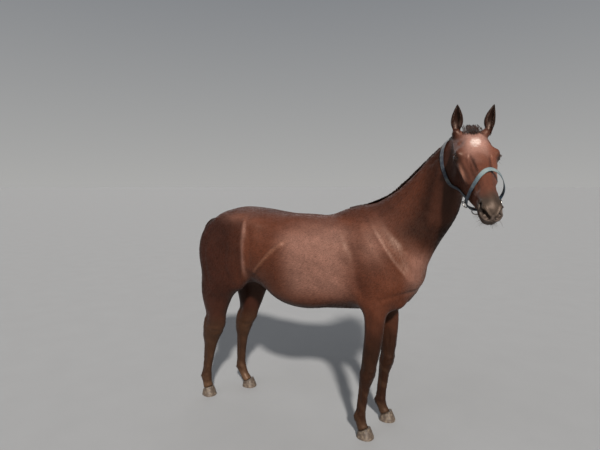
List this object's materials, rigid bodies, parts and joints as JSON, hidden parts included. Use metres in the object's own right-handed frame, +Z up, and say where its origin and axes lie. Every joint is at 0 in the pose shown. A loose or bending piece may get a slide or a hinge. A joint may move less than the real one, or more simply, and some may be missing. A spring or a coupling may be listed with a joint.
{
  "type": "standing horse",
  "caption": "Life-size still model of a standing chestnut horse, its head turned to its right, wearing a loose webbing halter",
  "frame": {"origin": "on the floor, under the middle of the whole object's box", "axes": "+Z up, +X towards the horse's front, +Y to the horse's left"},
  "size_m": [2.2598, 0.8096, 2.127],
  "materials": {
    "chestnut_coat": "short glossy dark chestnut coat",
    "dark_legs": "short dark brown coat of the legs",
    "black_hair": "long black-brown hair",
    "hoof_horn": "dusty horn",
    "eye_dark": "wet dark brown eye",
    "halter_webbing": "worn blue-grey nylon webbing",
    "halter_metal": "dulled plated rings"
  },
  "bodies": {
    "root": {"head": "chestnut_coat", "neck": "chestnut_coat", "trunk": "chestnut_coat", "ear_L": "chestnut_coat", "ear_R": "chestnut_coat", "foreleg_L": "dark_legs", "foreleg_R": "dark_legs", "hindleg_L": "dark_legs", "hindleg_R": "dark_legs", "mane": "black_hair", "forelock": "black_hair", "tail": "black_hair", "hoof_fore_L": "hoof_horn", "hoof_fore_R": "hoof_horn", "hoof_hind_L": "hoof_horn", "hoof_hind_R": "hoof_horn", "eye_L": "eye_dark", "eye_R": "eye_dark", "halter_noseband": "halter_webbing", "halter_crown": "halter_webbing", "halter_ring_L": "halter_metal", "halter_ring_R": "halter_metal", "halter_ring_chin": "halter_metal"}
  },
  "joints": []
}
